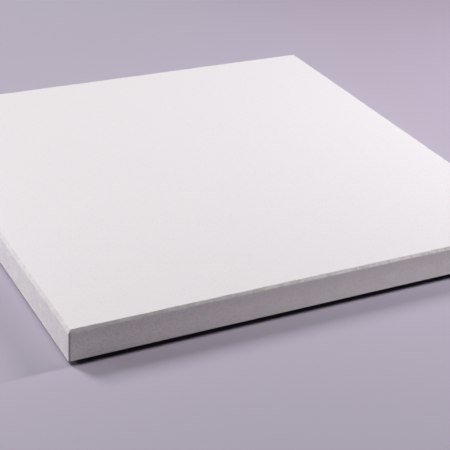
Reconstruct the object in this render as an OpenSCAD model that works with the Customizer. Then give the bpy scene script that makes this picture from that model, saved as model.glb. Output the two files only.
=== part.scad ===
// Square acoustic panel: a pressed mineral-wool board, cut and painted as one piece.
// It lies on its back with the painted face up. The origin is the centre of the
// back's resting face, +Z runs from the back to the face, and sizes are in millimetres.

/* [Board] */
// Length of the board, along X
board_length = 600; // [300:5:1200]
// Width of the board, along Y
board_width = 600; // [300:5:1200]
// Thickness of the board, from the back's resting face to the painted face
board_thickness = 40; // [25:0.5:60]
// Radius of the four upright corners
corner_radius = 1; // [0.5:0.25:5]

/* [Bevel round the face] */
// Height of the bevel, down the edge
bevel_height = 3; // [1:0.25:8]
// Inset of the bevel, across the face
bevel_inset = 3.25; // [1:0.25:8]

/* [Rebate round the back] */
// Height of the rebate, which is the gap that shows under the edge
rebate_height = 4; // [2:0.25:10]
// Depth of the rebate, from the edge inwards
rebate_depth = 20; // [5:1:60]
// Radius of the upright corners of the stepped-in back
back_corner_radius = 4; // [1:0.5:20]

/* [Hidden] */
paint_white = [0.90, 0.89, 0.89];
// Segments on a full circle
$fn = 48;
// How far the profile's sweeps and the cutting shapes run past the board, so that they cut clean
overrun = 10;

// A rectangle about the origin whose four corners are true arcs
module rounded_rectangle(length, width, radius) {
    square([length - 2 * radius, width], center = true);
    square([length, width - 2 * radius], center = true);
    for (side_x = [-1, 1], side_y = [-1, 1])
        translate([side_x * (length / 2 - radius), side_y * (width / 2 - radius)])
            circle(r = radius);
}

// The section across the board, from the resting face to the painted face.
// Its upper corners are cut off by the bevel.
module bevelled_section(span) {
    half = span / 2;
    bevel_foot = board_thickness - bevel_height;
    polygon([
        [-half, 0],
        [half, 0],
        [half, bevel_foot],
        [half - bevel_inset, board_thickness],
        [-half + bevel_inset, board_thickness],
        [-half, bevel_foot]
    ]);
}

// The section across the board's width, swept along its length
module sweep_along_length() {
    rotate([90, 0, 90])
        linear_extrude(height = board_length + 2 * overrun, center = true)
            bevelled_section(board_width);
}

// The section across the board's length, swept along its width
module sweep_along_width() {
    rotate([90, 0, 0])
        linear_extrude(height = board_width + 2 * overrun, center = true)
            bevelled_section(board_length);
}

// The board before it is rebated: the two sweeps meet in mitred bevels,
// and the column rounds the upright corners
module bevelled_board() {
    intersection() {
        sweep_along_length();
        sweep_along_width();
        translate([0, 0, -overrun])
            linear_extrude(height = board_thickness + 2 * overrun)
                rounded_rectangle(board_length, board_width, corner_radius);
    }
}

// The frame-shaped cut round the back. What it leaves is the stepped-in resting face.
module rebate_cut() {
    translate([0, 0, -overrun])
        linear_extrude(height = overrun + rebate_height)
            difference() {
                square([board_length + 2 * overrun, board_width + 2 * overrun], center = true);
                rounded_rectangle(
                    board_length - 2 * rebate_depth,
                    board_width - 2 * rebate_depth,
                    back_corner_radius
                );
            }
}

// The whole panel is one solid
module acoustic_panel() {
    color(paint_white)
        difference() {
            bevelled_board();
            rebate_cut();
        }
}

acoustic_panel();
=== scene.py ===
"""The looks of a square acoustic panel: a painted mineral-wool board that lies face up on a floor.

All lengths are in metres, in the frame's own axes: the origin is the centre of the board's
resting face, X and Y run along its edges and +Z is the way that the painted face looks.
"""

import math

import bpy
import numpy as np
from mathutils import Matrix, Vector, noise


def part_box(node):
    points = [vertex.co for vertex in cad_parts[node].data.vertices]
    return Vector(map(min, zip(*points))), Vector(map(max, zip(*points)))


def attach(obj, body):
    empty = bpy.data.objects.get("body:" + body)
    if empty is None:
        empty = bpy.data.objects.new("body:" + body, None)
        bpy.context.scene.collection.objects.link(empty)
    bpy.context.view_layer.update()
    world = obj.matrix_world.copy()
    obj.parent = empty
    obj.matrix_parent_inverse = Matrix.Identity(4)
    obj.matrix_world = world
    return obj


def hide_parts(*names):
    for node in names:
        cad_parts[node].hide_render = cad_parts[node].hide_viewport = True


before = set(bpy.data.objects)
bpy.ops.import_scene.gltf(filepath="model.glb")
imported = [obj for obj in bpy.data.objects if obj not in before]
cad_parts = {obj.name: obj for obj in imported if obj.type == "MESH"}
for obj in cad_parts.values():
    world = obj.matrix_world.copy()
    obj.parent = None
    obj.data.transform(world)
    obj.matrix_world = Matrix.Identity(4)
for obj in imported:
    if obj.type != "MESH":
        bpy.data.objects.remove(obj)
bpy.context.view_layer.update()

# Sizes that the frame's box doesn't give: the bevel, the rebate and the corners
BEVEL_HEIGHT = 0.003
BEVEL_INSET = 0.00325
REBATE_HEIGHT = 0.004
REBATE_DEPTH = 0.020
CORNER_RADIUS = 0.001
BACK_CORNER_RADIUS = 0.004

# How much the paint softens the sharp edges, and the lower one, which it hardly reaches
ARRIS = 0.0004
LOWER_ARRIS = 0.0002

# Unevenness that the cutting and the thick paint leave: how far the bevel's lower line (its foot)
# and its upper line (its lip), the edge's face and the painted face stray
FOOT_STRAY = 0.00050
LIP_STRAY = 0.00060
EDGE_STRAY = 0.00016
FACE_STRAY = 0.00006

# The waves of that unevenness: their lengths, how much of each counts, and the noises' seeds
LONG_WAVE = 0.026
SHORT_WAVE = 0.007
FACE_WAVE = 0.060
LONG_WAVE_SHARE = 0.9
SHORT_WAVE_SHARE = 0.7
FOOT_SEED = 11.0
LIP_SEED = 23.0
EDGE_SEED = 37.0

# Segments along each side of the board and in each half of a corner's arc, and rings of points
# up the painted edge
SIDE_SEGMENTS = 320
ARC_SEGMENTS = 4
EDGE_RINGS = 10

# The sheets that close the face and the back are coarser. One of their segments meets COARSE of
# a side's, and their border lies SHEET_BORDER inside the ring that they close.
COARSE = 4
SHEET_SEGMENTS = SIDE_SEGMENTS // COARSE
SHEET_BORDER = 0.006

# The angle in degrees from which two faces meet in a sharp edge
SHARP_ANGLE = 50.0

# The board's material slots, in the order in which its materials are added
FACE_SLOT = 0
EDGE_SLOT = 1
BACK_SLOT = 2

# Camera of the photograph, solved from the panel's own edges, with its angles in degrees
CAMERA_PLACE = (-0.6881, -1.3192, 0.7510)
CAMERA_AZIMUTH = 28.66
CAMERA_ELEVATION = 28.24
CAMERA_ROLL = 3.52
FOCAL_LENGTH_MM = 104.07
SENSOR_WIDTH_MM = 36.0

# The point that the lights look at
LIGHT_AIM = (-0.12, -0.15, 0.02)

# What the two low lights in front share: their place as angles, how large they look, their colour
LOW_AZIMUTH = 295.0
LOW_ELEVATION = 1.8
LOW_WIDTH = 47.0
LOW_HEIGHT = 3.0
LOW_COLOUR = (1.0, 0.950, 0.945)

# Colours, as linear red, green and blue. LOW and HIGH are the two ends of a variation.
WHITE_LOW = (0.796, 0.763, 0.792)
WHITE_HIGH = (0.830, 0.799, 0.830)
# Painted shade in the open pits of the face and the edges
PORE_SHADE_TONE = (0.735, 0.700, 0.733)
# Painted highlight on the face's raised bumps
NIB_HIGHLIGHT_TONE = (0.860, 0.829, 0.862)
EDGE_LOW = (0.728, 0.696, 0.700)
EDGE_HIGH = (0.945, 0.924, 0.932)
# The pale edge tone also carries painted light low on the sides along X, and the grey one painted
# shade under their bevel
EDGE_PALE_AND_LIGHT = (0.890, 0.860, 0.862)
EDGE_GREY_AND_SHADE = (0.716, 0.681, 0.688)
EDGE_WARM = (0.800, 0.732, 0.738)
BEVEL_TONE = (0.690, 0.656, 0.673)
# The painted shade on the bevel towards -X
BEVEL_SHADE = (0.500, 0.470, 0.480)
THIN_TONE = (0.925, 0.880, 0.830)
WOOL_TONE = (0.540, 0.500, 0.495)
# The painted light at the lower edge of the sides along X
LOWER_EDGE_LIGHT_TONE = (0.960, 0.935, 0.940)
# The painted shade beside the upright corners
CORNER_SHADE_TONE = (0.400, 0.365, 0.385)
# The back's near-black is painted shade of the gap under the board
SHADED_FLEECE_LOW = (0.014, 0.013, 0.015)
SHADED_FLEECE_HIGH = (0.050, 0.048, 0.052)
FLOOR_LOW = (0.467, 0.426, 0.523)
FLOOR_HIGH = (0.481, 0.439, 0.536)
# The floor's painted shade towards +X
FLOOR_ROSE_SHADE = (0.455, 0.400, 0.506)
BACKDROP_TONE = (0.400, 0.365, 0.440)

# Lengths of the textures' features
GRAIN_LENGTH = 0.0018
SPECK_LENGTH = 0.0020
MOTTLE_LENGTH = 0.0065
EDGE_BLOTCH_LENGTH = 0.012
EDGE_FIBRE_LENGTH = 0.0026
EDGE_PORE_LENGTH = 0.006
WARM_PATCH_LENGTH = 0.016
BEVEL_LAYER_LENGTH = 0.006
BLOTCH_LENGTH = 0.045
FLEECE_FIBRE_LENGTH = 0.0030
FLEECE_FIBRE_NARROWING = 0.3
FLOOR_CLOUD_LENGTH = 0.25

# How much of the face's shade comes from its fine grain. The rest is the coarser mottle.
GRAIN_SHARE = 0.4

# How high the textures' bumps stand, or how deep the pores are
FACE_RELIEF = 0.00008
NIB_RELIEF = 0.00006
EDGE_BLOTCH_RELIEF = 0.00050
EDGE_GRAIN_RELIEF = 0.00012
EDGE_PORE_RELIEF = 0.00020
FLEECE_RELIEF = 0.00025

# Where the tones change, up the edges, along them and along the floor. Each change starts at a
# height or at a place along X, and is complete at the start plus the reach, which may be negative.
# Heights of the painted light low on the sides along X, and of the painted shade under their bevel
LIT_LOWER_PART_HEIGHTS = {"start": 0.024, "reach": -0.018}
LIT_LOWER_EDGE_HEIGHTS = {"start": 0.0085, "reach": -0.0040}
SHADED_UPPER_PART_HEIGHTS = {"start": 0.018, "reach": 0.016}
# Towards -X the paint thins, and the bevel there carries painted shade
THIN_AND_SHADED_END = {"start": 0.10, "reach": -0.40}
# Where the floor's painted shade sets in along X
ROSE_SHADE_END = {"start": 0.20, "reach": 0.40}

# The painted shade beside each upright corner: how wide it is, and over what length its tone sets in
CORNER_SHADE_WIDTH = 0.003
CORNER_SHADE_REACH = 0.0015

# Over what height the bevel's tone sets in
BEVEL_REACH = 0.001

# Side of the square floor
FLOOR_SIZE = 12.0


def side_points(half_length, offset, radius):
    """The points of one side, from the middle of its first corner's arc to the middle of the next.

    The side runs along +X at y = -offset, and the arcs are of the given radius.
    """

    def arc_point(side, turn):
        """A point on the arc at one end, -1 or 1 for side, turned by an angle from the straight."""
        return (
            side * (half_length - radius + radius * math.sin(turn)),
            -offset + radius - radius * math.cos(turn),
        )

    half_arc = math.radians(45.0)
    straight = SIDE_SEGMENTS - 2 * ARC_SEGMENTS
    places = [arc_point(-1, half_arc * step / ARC_SEGMENTS) for step in range(ARC_SEGMENTS, 0, -1)]
    for step in range(straight + 1):
        along = -1.0 + 2.0 * step / straight
        places.append((along * (half_length - radius), -offset))
    places += [arc_point(1, half_arc * step / ARC_SEGMENTS) for step in range(1, ARC_SEGMENTS)]
    return places


def outline(half_x, half_y, radius):
    """A closed outline round the board, four sides of SIDE_SEGMENTS points each."""
    points = []
    for quarter in range(4):
        along, across = (half_x, half_y) if quarter % 2 == 0 else (half_y, half_x)
        cosine = round(math.cos(math.radians(90 * quarter)))
        sine = round(math.sin(math.radians(90 * quarter)))
        for x, y in side_points(along, across, radius):
            points.append((x * cosine - y * sine, x * sine + y * cosine))
    return np.array(points)


def stray(points, height, seed):
    """How far a line of the edge strays at each point, from -1 to 1: long waves and short ones."""
    offset = Vector((seed, 2.3 * seed, 4.1 * seed))
    values = []
    for x, y in points:
        place = Vector((x, y, height))
        long_wave = noise.noise(place / LONG_WAVE + offset)
        short_wave = noise.noise(place / SHORT_WAVE + 3 * offset)
        values.append(LONG_WAVE_SHARE * long_wave + SHORT_WAVE_SHARE * short_wave)
    return np.clip(np.array(values), -1.0, 1.0)


def edge_profile(top):
    """The rings from the border of the resting face, up the edge, to that of the painted face.

    Each one is (inset from the outline, height, corner radius, share of the foot's stray,
    share of the lip's stray, share of the edge face's stray). The rings within an arris of an
    edge round it off.
    """
    foot = top - BEVEL_HEIGHT
    step_in = REBATE_DEPTH
    rings = [
        (step_in + 2 * ARRIS, 0.0, BACK_CORNER_RADIUS, 0, 0, 0),
        (step_in + ARRIS, 0.0, BACK_CORNER_RADIUS, 0, 0, 0),
        (step_in + 0.3 * ARRIS, 0.3 * ARRIS, BACK_CORNER_RADIUS, 0, 0, 0),
        (step_in, ARRIS, BACK_CORNER_RADIUS, 0, 0, 0),
        (step_in, REBATE_HEIGHT - ARRIS, BACK_CORNER_RADIUS, 0, 0, 0),
        (step_in - ARRIS, REBATE_HEIGHT, BACK_CORNER_RADIUS, 0, 0, 0),
        (step_in / 2, REBATE_HEIGHT, 2 * CORNER_RADIUS, 0, 0, 0),
        (3 * LOWER_ARRIS, REBATE_HEIGHT, CORNER_RADIUS, 0, 0, 0),
        (LOWER_ARRIS, REBATE_HEIGHT, CORNER_RADIUS, 0, 0, 0),
        (0.3 * LOWER_ARRIS, REBATE_HEIGHT + 0.3 * LOWER_ARRIS, CORNER_RADIUS, 0, 0, 0.2),
        (0.0, REBATE_HEIGHT + LOWER_ARRIS, CORNER_RADIUS, 0, 0, 0.3),
    ]
    lowest = REBATE_HEIGHT + 2 * LOWER_ARRIS
    highest = foot - 2 * ARRIS
    for step in range(EDGE_RINGS):
        share = step / (EDGE_RINGS - 1)
        height = lowest + share * (highest - lowest)
        foot_share = max(0.0, 2 * share - 1) ** 2
        rings.append((0.0, height, CORNER_RADIUS, foot_share, 0, 1))
    rings += [
        (0.0, foot - 0.6 * ARRIS, CORNER_RADIUS, 1, 0, 0.8),
        (0.2 * ARRIS, foot + 0.1 * ARRIS, CORNER_RADIUS, 1, 0, 0.6),
        (0.8 * ARRIS, foot + 0.8 * ARRIS, CORNER_RADIUS, 1, 0.2, 0.3),
        (0.5 * BEVEL_INSET, top - 0.5 * BEVEL_HEIGHT, CORNER_RADIUS, 0.5, 0.5, 0),
        (BEVEL_INSET - 0.8 * ARRIS, top - 0.75 * ARRIS, CORNER_RADIUS, 0, 1, 0),
        (BEVEL_INSET - 0.1 * ARRIS, top - 0.2 * ARRIS, CORNER_RADIUS, 0, 1, 0),
        (BEVEL_INSET + 0.7 * ARRIS, top, CORNER_RADIUS, 0, 1, 0),
        (BEVEL_INSET + 1.5 * ARRIS, top, CORNER_RADIUS, 0, 1, 0),
    ]
    return rings


def edge_rings_of_points(half_x, half_y, top):
    """The points of every ring of the profile, with the unevenness of the cut and the paint."""
    sharp = outline(half_x, half_y, CORNER_RADIUS)
    foot_stray = FOOT_STRAY * stray(sharp, top, FOOT_SEED)
    lip_stray = LIP_STRAY * stray(sharp, top, LIP_SEED)
    rings = []
    for inset, height, radius, foot_share, lip_share, face_share in edge_profile(top):
        base = outline(half_x, half_y, radius)
        # What a metre of inset adds to each point
        inward = outline(half_x - 1.0, half_y - 1.0, radius) - base
        insets = np.full(len(base), inset) + lip_share * lip_stray
        if face_share:
            face_stray = 0.5 * (1.0 + stray(sharp, height, EDGE_SEED))
            insets += face_share * EDGE_STRAY * face_stray
        heights = height + foot_share * foot_stray
        rings.append(np.column_stack((base + insets[:, None] * inward, heights)))
    return rings


def span_border(border):
    """A grid of points that spans a closed ring: rows go along +Y and columns along +X."""
    count = len(border) // 4
    bottom = border[0:count + 1]
    right = border[count:2 * count + 1]
    top = border[2 * count:3 * count + 1][::-1]
    left = np.vstack((border[3 * count:4 * count], border[0:1]))[::-1]
    share = (bottom[:, 0] - bottom[0, 0]) / (bottom[-1, 0] - bottom[0, 0])
    u = share[None, :, None]
    v = share[:, None, None]
    corners = (
        (1 - u) * (1 - v) * bottom[0]
        + u * (1 - v) * bottom[-1]
        + (1 - u) * v * top[0]
        + u * v * top[-1]
    )
    return (
        (1 - v) * bottom[None]
        + v * top[None]
        + (1 - u) * left[:, None]
        + u * right[:, None]
        - corners
    )


class Surface:
    """The points and the faces of a mesh as it grows."""

    def __init__(self):
        self.points = []
        self.faces = []

    def add_points(self, places):
        """Adds points and gives the number of the first."""
        first = len(self.points)
        self.points += [tuple(float(value) for value in place) for place in places]
        return first

    def add_face(self, corners, facing_up):
        """Adds a face whose corners run anticlockwise from above, turned over if it looks down."""
        self.faces.append(tuple(corners) if facing_up else tuple(reversed(corners)))

    def add_band(self, first, second, count):
        """Joins two rings of count points each with quads."""
        for step in range(count):
            after = (step + 1) % count
            self.faces.append((first + step, first + after, second + after, second + step))

    def add_sheet(self, ring_start, ring, facing_up, relief):
        """Closes a ring with a coarser grid, whose heights the relief gives."""
        reach = np.abs(ring[:, :2])
        at_border = reach >= reach.max() - SHEET_BORDER
        border = ring.copy()
        border[:, :2] -= SHEET_BORDER * np.sign(ring[:, :2]) * at_border
        grid = span_border(border[::COARSE])
        for row in grid:
            for place in row:
                place[2] = relief(place)
        first = self.add_points(grid.reshape(-1, 3))
        numbers = first + np.arange((SHEET_SEGMENTS + 1) ** 2).reshape(grid.shape[:2])
        for row in range(SHEET_SEGMENTS):
            for column in range(SHEET_SEGMENTS):
                self.add_face((
                    numbers[row, column], numbers[row, column + 1],
                    numbers[row + 1, column + 1], numbers[row + 1, column],
                ), facing_up)
        inner = np.concatenate((
            numbers[0, :-1],
            numbers[:-1, -1],
            numbers[-1, :0:-1],
            numbers[:0:-1, 0],
        ))
        self.join_border(ring_start, inner, facing_up)

    def join_border(self, ring_start, inner, facing_up):
        """Joins a ring to a sheet's border, where one inner segment meets COARSE of the ring's."""
        total = COARSE * len(inner)
        middle = COARSE // 2
        for step in range(len(inner)):
            here, after = inner[step], inner[(step + 1) % len(inner)]
            fine = [ring_start + (COARSE * step + index) % total for index in range(COARSE + 1)]
            for index in range(COARSE):
                peak = here if index < middle else after
                self.add_face((fine[index], fine[index + 1], peak), facing_up)
            self.add_face((fine[middle], after, here), facing_up)


def board_mesh(low, high):
    """The whole surface of the board as one closed mesh."""
    top = high.z
    rings = edge_rings_of_points((high.x - low.x) / 2, (high.y - low.y) / 2, top)
    surface = Surface()
    starts = [surface.add_points(ring) for ring in rings]
    for first, second in zip(starts, starts[1:]):
        surface.add_band(first, second, len(rings[0]))

    def face_relief(place):
        """The painted face dips a very little here and there."""
        dip = 0.5 + 0.5 * noise.noise(Vector((place[0], place[1], 0.0)) / FACE_WAVE)
        return top - FACE_STRAY * min(max(dip, 0.0), 1.0)

    def back_relief(place):
        """The resting face is flat."""
        return 0.0

    surface.add_sheet(starts[-1], rings[-1], True, face_relief)
    surface.add_sheet(starts[0], rings[0], False, back_relief)
    mesh = bpy.data.meshes.new("acoustic_panel_board")
    mesh.from_pydata(surface.points, [], surface.faces)
    mesh.validate()
    mesh.update()
    return mesh


def make_board(low, high):
    """The board's visible piece, which stands for the frame's plain solid."""
    mesh = board_mesh(low, high)
    board = bpy.data.objects.new("painted_board", mesh)
    bpy.context.scene.collection.objects.link(board)
    # The back's faces lie below the painted edge, and the painted face's lie at the very top
    for polygon in mesh.polygons:
        polygon.use_smooth = True
        heights = [mesh.vertices[index].co.z for index in polygon.vertices]
        if max(heights) < REBATE_HEIGHT + 0.5 * LOWER_ARRIS:
            polygon.material_index = BACK_SLOT
        elif min(heights) < high.z - 0.3 * ARRIS:
            polygon.material_index = EDGE_SLOT
        else:
            polygon.material_index = FACE_SLOT
    mesh.set_sharp_from_angle(angle=math.radians(SHARP_ANGLE))
    return board


class MattMaterial:
    """A matt material whose colour and bumps come from textures in the object's own coordinates."""

    def __init__(self, name, roughness, specular):
        self.material = bpy.data.materials.new(name)
        self.material.use_nodes = True
        self.tree = self.material.node_tree
        self.shader = self.tree.nodes["Principled BSDF"]
        self.shader.inputs["Roughness"].default_value = roughness
        self.shader.inputs["Specular IOR Level"].default_value = specular
        self.place = self.tree.nodes.new("ShaderNodeTexCoord").outputs["Object"]
        self.normal = None

    def noise(self, length, detail=2.0, roughness=0.5, stretch=(1.0, 1.0, 1.0)):
        """Noise with features about as long as the length, times the stretch along each axis."""
        scaled = self.tree.nodes.new("ShaderNodeVectorMath")
        scaled.operation = "MULTIPLY"
        scaled.inputs[1].default_value = [1.0 / (length * factor) for factor in stretch]
        self.tree.links.new(self.place, scaled.inputs[0])
        texture = self.tree.nodes.new("ShaderNodeTexNoise")
        texture.inputs["Scale"].default_value = 1.0
        texture.inputs["Detail"].default_value = detail
        texture.inputs["Roughness"].default_value = roughness
        self.tree.links.new(scaled.outputs[0], texture.inputs["Vector"])
        return texture.outputs["Fac"]

    def past(self, value, start, reach):
        """A mask that rises softly from 0 where a value is at the start to 1 once it is reach on.

        With a negative reach it is the low values that it picks.
        """
        ramp = self.tree.nodes.new("ShaderNodeMapRange")
        ramp.interpolation_type = "SMOOTHSTEP"
        ramp.inputs["From Min"].default_value = start
        ramp.inputs["From Max"].default_value = start + reach
        self.tree.links.new(value, ramp.inputs["Value"])
        return ramp.outputs["Result"]

    def axes(self):
        """The place along X, across in Y and up in Z, each as a value."""
        split = self.tree.nodes.new("ShaderNodeSeparateXYZ")
        self.tree.links.new(self.place, split.inputs[0])
        return split.outputs

    def compute(self, operation, *values):
        """A Math node on values that are sockets or numbers."""
        node = self.tree.nodes.new("ShaderNodeMath")
        node.operation = operation
        for index, value in enumerate(values):
            if isinstance(value, float):
                node.inputs[index].default_value = value
            else:
                self.tree.links.new(value, node.inputs[index])
        return node.outputs["Value"]

    def size_of(self, value):
        """A value without its sign."""
        return self.compute("ABSOLUTE", value)

    def both(self, first, second):
        """The mask of where two masks meet."""
        return self.compute("MULTIPLY", first, second)

    def tint(self, colour, value, other):
        """Mixes the other colour into a colour, or into a socket's colour, by a value from 0 to 1."""
        mix = self.tree.nodes.new("ShaderNodeMix")
        mix.data_type = "RGBA"
        if isinstance(colour, tuple):
            mix.inputs["A"].default_value = (*colour, 1.0)
        else:
            self.tree.links.new(colour, mix.inputs["A"])
        mix.inputs["B"].default_value = (*other, 1.0)
        self.tree.links.new(value, mix.inputs["Factor"])
        return mix.outputs["Result"]

    def bump(self, value, height):
        """Raises the surface by a value from 0 to 1 times the height, on top of the bumps so far."""
        node = self.tree.nodes.new("ShaderNodeBump")
        node.inputs["Distance"].default_value = abs(height)
        node.invert = height < 0
        self.tree.links.new(value, node.inputs["Height"])
        if self.normal is not None:
            self.tree.links.new(self.normal, node.inputs["Normal"])
        self.normal = node.outputs["Normal"]

    def finish(self, colour):
        """Joins the colour and the bumps to the shader."""
        self.tree.links.new(colour, self.shader.inputs["Base Color"])
        if self.normal is not None:
            self.tree.links.new(self.normal, self.shader.inputs["Normal"])
        return self.material


def face_paint():
    """The painted face: matt white paint on a fleece with a fine grain, darkened by painted shade in
    each open pore and lightened by painted highlight on each raised nib.
    """
    paint = MattMaterial("face_paint", roughness=0.9, specular=0.2)
    grain = paint.noise(GRAIN_LENGTH, detail=2.0)
    specks = paint.noise(SPECK_LENGTH, detail=1.0)
    shaded_pores = paint.past(specks, start=0.62, reach=0.12)
    highlit_nibs = paint.past(specks, start=0.38, reach=-0.12)
    blotches = paint.noise(BLOTCH_LENGTH, detail=3.0)
    mottle = paint.noise(MOTTLE_LENGTH, detail=2.0)
    fine_shade = paint.compute("MULTIPLY", grain, GRAIN_SHARE)
    coarse_shade = paint.compute("MULTIPLY", mottle, 1.0 - GRAIN_SHARE)
    colour = paint.tint(WHITE_LOW, paint.compute("ADD", fine_shade, coarse_shade), WHITE_HIGH)
    # Painted shade in each open pore
    colour = paint.tint(colour, shaded_pores, PORE_SHADE_TONE)
    # Painted highlight on each raised nib
    colour = paint.tint(colour, highlit_nibs, NIB_HIGHLIGHT_TONE)
    paint.bump(blotches, FACE_RELIEF)
    paint.bump(grain, FACE_RELIEF)
    paint.bump(shaded_pores, -FACE_RELIEF)
    paint.bump(highlit_nibs, NIB_RELIEF)
    return paint.finish(colour)


def edge_paint(half_length, bevel_foot):
    """The cut and painted edges: the same white, blotchier over the wool, darker on the bevel.

    On the two sides along X the edge is lighter towards its lower edge, which is painted light,
    and darker under the bevel, which is painted shade, and a thin line of painted shade runs down
    beside each upright corner. Towards their -X end the paint is thin, so the wool's fine speckle
    shows through, and the bevel there is darker with painted shade.
    """
    paint = MattMaterial("edge_paint", roughness=0.92, specular=0.15)
    blotches = paint.noise(EDGE_BLOTCH_LENGTH, detail=5.0, roughness=0.65)
    grain = paint.noise(GRAIN_LENGTH, detail=3.0, roughness=0.6)
    fibres = paint.noise(EDGE_FIBRE_LENGTH, detail=3.0, roughness=0.65)
    layer = paint.noise(BEVEL_LAYER_LENGTH, detail=4.0, roughness=0.7)
    warmth = paint.noise(WARM_PATCH_LENGTH, detail=3.0)
    shaded_pores = paint.past(paint.noise(EDGE_PORE_LENGTH, detail=2.0), start=0.70, reach=0.05)

    along, across, height = paint.axes()
    nearer = paint.compute("SUBTRACT", paint.size_of(across), paint.size_of(along))
    side_along_x = paint.past(nearer, start=-ARRIS, reach=ARRIS)
    thin_and_shaded_end = paint.both(side_along_x, paint.past(along, **THIN_AND_SHADED_END))
    lit_lower_edge = paint.past(height, **LIT_LOWER_EDGE_HEIGHTS)
    lit_lower_part = paint.past(height, **LIT_LOWER_PART_HEIGHTS)
    shaded_upper_part = paint.past(height, **SHADED_UPPER_PART_HEIGHTS)
    bevel = paint.past(height, start=bevel_foot - ARRIS, reach=BEVEL_REACH)
    bevel_along_x = paint.both(bevel, side_along_x)
    corner_shade_start = half_length - CORNER_SHADE_WIDTH
    corner_shade = paint.past(paint.size_of(along), start=corner_shade_start, reach=CORNER_SHADE_REACH)

    # The coats, from the first one up: where each lies, how much of it shows there, and its tone.
    # Some of them are painted light and painted shade.
    coats = (
        (paint.past(warmth, start=0.45, reach=0.20), 0.55, EDGE_WARM),
        (paint.past(fibres, start=0.48, reach=0.22), 1.0, EDGE_GREY_AND_SHADE),
        (thin_and_shaded_end, 0.35, THIN_TONE),
        # On the sides along X: painted light towards the lower edge and painted shade under the bevel
        (paint.both(side_along_x, lit_lower_part), 0.75, EDGE_PALE_AND_LIGHT),
        (paint.both(side_along_x, lit_lower_edge), 0.85, LOWER_EDGE_LIGHT_TONE),
        (paint.both(side_along_x, shaded_upper_part), 0.85, EDGE_GREY_AND_SHADE),
        (paint.both(thin_and_shaded_end, paint.past(grain, start=0.50, reach=0.12)), 0.32, WOOL_TONE),
        (paint.both(thin_and_shaded_end, paint.past(grain, start=0.50, reach=-0.12)), 0.45, EDGE_PALE_AND_LIGHT),
        (bevel, 0.85, BEVEL_TONE),
        (paint.both(bevel, paint.past(layer, start=0.42, reach=0.30)), 0.60, EDGE_PALE_AND_LIGHT),
        (paint.both(bevel_along_x, paint.past(layer, start=0.36, reach=0.22)), 0.85, EDGE_PALE_AND_LIGHT),
        # Painted shade on the bevel towards the -X end
        (paint.both(bevel, thin_and_shaded_end), 0.60, BEVEL_SHADE),
        # Painted shade beside each upright corner
        (paint.both(side_along_x, corner_shade), 0.80, CORNER_SHADE_TONE),
        # Painted shade in each open pore of the edge
        (shaded_pores, 1.0, PORE_SHADE_TONE),
    )
    colour = paint.tint(EDGE_LOW, blotches, EDGE_HIGH)
    for where, share, tone in coats:
        colour = paint.tint(colour, paint.compute("MULTIPLY", where, share), tone)
    paint.bump(blotches, EDGE_BLOTCH_RELIEF)
    paint.bump(grain, EDGE_GRAIN_RELIEF)
    paint.bump(shaded_pores, -EDGE_PORE_RELIEF)
    return paint.finish(colour)


def shaded_back_fleece():
    """The unpainted fleece on the back and in the rebate, with its fine fibres, near-black with
    painted shade.
    """
    fleece = MattMaterial("shaded_back_fleece", roughness=0.97, specular=0.1)
    narrow_in_x = (FLEECE_FIBRE_NARROWING, 1.0, 1.0)
    narrow_in_y = (1.0, FLEECE_FIBRE_NARROWING, 1.0)
    fibres = fleece.noise(FLEECE_FIBRE_LENGTH, detail=4.0, roughness=0.7, stretch=narrow_in_x)
    cross_fibres = fleece.noise(FLEECE_FIBRE_LENGTH, detail=4.0, roughness=0.7, stretch=narrow_in_y)
    flecks = fleece.past(cross_fibres, start=0.55, reach=0.2)
    colour = fleece.tint(SHADED_FLEECE_LOW, fibres, SHADED_FLEECE_HIGH)
    colour = fleece.tint(colour, flecks, SHADED_FLEECE_HIGH)
    fleece.bump(fibres, FLEECE_RELIEF)
    fleece.bump(cross_fibres, FLEECE_RELIEF)
    return fleece.finish(colour)


def floor_material():
    """A plain, pale, faintly lavender floor with painted shade, which makes it slightly darker and
    more rosy towards +X.
    """
    floor = MattMaterial("pale_floor", roughness=0.95, specular=0.1)
    clouds = floor.noise(FLOOR_CLOUD_LENGTH, detail=2.0)
    rosier_shade = floor.past(floor.axes()["X"], **ROSE_SHADE_END)
    colour = floor.tint(FLOOR_LOW, clouds, FLOOR_HIGH)
    # Painted shade towards +X
    colour = floor.tint(colour, rosier_shade, FLOOR_ROSE_SHADE)
    return floor.finish(colour)


def make_floor():
    """The plain floor that the board lies on. It isn't part of the object."""
    half = FLOOR_SIZE / 2
    mesh = bpy.data.meshes.new("floor")
    corners = [(-half, -half, 0), (half, -half, 0), (half, half, 0), (-half, half, 0)]
    mesh.from_pydata(corners, [], [(0, 1, 2, 3)])
    floor = bpy.data.objects.new("floor", mesh)
    bpy.context.scene.collection.objects.link(floor)
    floor.data.materials.append(floor_material())
    return floor


def make_camera():
    """The camera at the photograph's viewpoint."""
    azimuth = math.radians(CAMERA_AZIMUTH)
    elevation = math.radians(CAMERA_ELEVATION)
    roll = math.radians(CAMERA_ROLL)
    forward = Vector((
        math.sin(azimuth) * math.cos(elevation),
        math.cos(azimuth) * math.cos(elevation),
        -math.sin(elevation),
    ))
    level_right = Vector((math.cos(azimuth), -math.sin(azimuth), 0.0))
    level_up = level_right.cross(forward)
    right = math.cos(roll) * level_right + math.sin(roll) * level_up
    up = math.cos(roll) * level_up - math.sin(roll) * level_right
    turn = Matrix((right, up, -forward)).transposed()
    data = bpy.data.cameras.new("camera")
    data.sensor_width = SENSOR_WIDTH_MM
    data.lens = FOCAL_LENGTH_MM
    camera = bpy.data.objects.new("camera", data)
    camera.matrix_world = Matrix.Translation(CAMERA_PLACE) @ turn.to_4x4()
    bpy.context.scene.collection.objects.link(camera)
    bpy.context.scene.camera = camera


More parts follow.
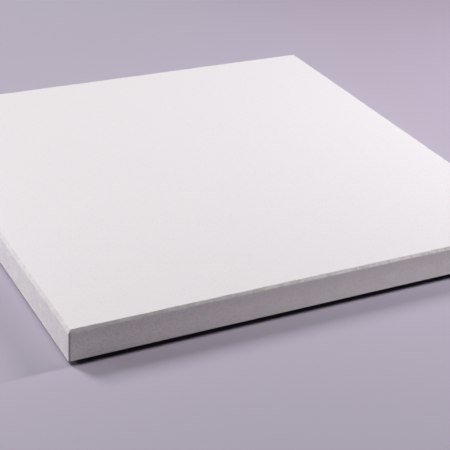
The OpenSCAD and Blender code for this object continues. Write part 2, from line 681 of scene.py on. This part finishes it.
def soft_light(name, azimuth, elevation, distance, width, height, brightness, colour):
    """A rectangular soft light that looks at the aim and that no camera sees.

    The azimuth goes from +X towards +Y, and the width and height are the angles that the light
    fills as seen from the aim, all in degrees. The brightness is what a white surface that
    faces the light there reflects.
    """
    around, above = math.radians(azimuth), math.radians(elevation)
    way = Vector((
        math.cos(around) * math.cos(above),
        math.sin(around) * math.cos(above),
        math.sin(above),
    ))
    data = bpy.data.lights.new(name, "AREA")
    data.shape = "RECTANGLE"
    data.size = 2 * distance * math.tan(math.radians(width) / 2)
    data.size_y = 2 * distance * math.tan(math.radians(height) / 2)
    data.energy = brightness * math.pi ** 2 * distance ** 2
    data.color = colour
    light = bpy.data.objects.new(name, data)
    light.location = Vector(LIGHT_AIM) + distance * way
    light.rotation_euler = way.to_track_quat("Z", "Y").to_euler()
    light.visible_camera = False
    bpy.context.scene.collection.objects.link(light)
    return light


def low_light(name, distance, brightness, lit_object):
    """A low, wide light in front of the board that falls on one object alone."""
    light = soft_light(
        name, azimuth=LOW_AZIMUTH, elevation=LOW_ELEVATION, distance=distance,
        width=LOW_WIDTH, height=LOW_HEIGHT, brightness=brightness, colour=LOW_COLOUR,
    )
    receivers = bpy.data.collections.new(name + "_receivers")
    receivers.objects.link(lit_object)
    light.light_linking.receiver_collection = receivers


def make_lights(board, floor):
    """Plain soft studio light: a large soft key behind the board, and weaker ones round it.

    The low fill in front stands just over the floor, so it lights the board alone and leaves no
    streak of light beside itself. Its far twin, beyond the floor's end, lights the floor alone.
    """
    soft_light(
        "key_behind", azimuth=121.0, elevation=42.5, distance=3.60,
        width=14.5, height=19.5, brightness=0.714, colour=(1.0, 1.0, 0.985),
    )
    soft_light(
        "overhead", azimuth=163.0, elevation=72.0, distance=3.20,
        width=3.0, height=9.0, brightness=0.159, colour=(1.0, 1.0, 0.930),
    )
    soft_light(
        "left_fill", azimuth=173.0, elevation=17.0, distance=0.70,
        width=18.0, height=9.0, brightness=0.168, colour=(0.970, 0.960, 1.0),
    )
    soft_light(
        "right_side", azimuth=-2.5, elevation=35.0, distance=1.58,
        width=3.0, height=27.0, brightness=0.552, colour=(1.0, 0.985, 1.0),
    )
    low_light("front_fill", distance=0.70, brightness=0.143, lit_object=board)
    low_light("floor_fill", distance=9.00, brightness=0.180, lit_object=floor)


def make_backdrop():
    """A plain pale backdrop beyond the floor, which only the camera sees, so it sheds no light."""
    world = bpy.data.worlds.new("backdrop")
    bpy.context.scene.world = world
    world.use_nodes = True
    world.node_tree.nodes["Background"].inputs["Color"].default_value = (*BACKDROP_TONE, 1.0)
    world.cycles_visibility.diffuse = False
    world.cycles_visibility.glossy = False
    world.cycles_visibility.transmission = False
    world.cycles_visibility.scatter = False


make_camera()
floor = make_floor()
low, high = (Vector(corner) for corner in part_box("acoustic_panel"))
board = make_board(low, high)
half_length = (high.x - low.x) / 2
bevel_foot = high.z - BEVEL_HEIGHT
for material in (face_paint(), edge_paint(half_length, bevel_foot), shaded_back_fleece()):
    board.data.materials.append(material)
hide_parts("acoustic_panel")
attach(board, "root")
make_lights(board, floor)
make_backdrop()
bpy.context.scene.view_settings.view_transform = "Standard"
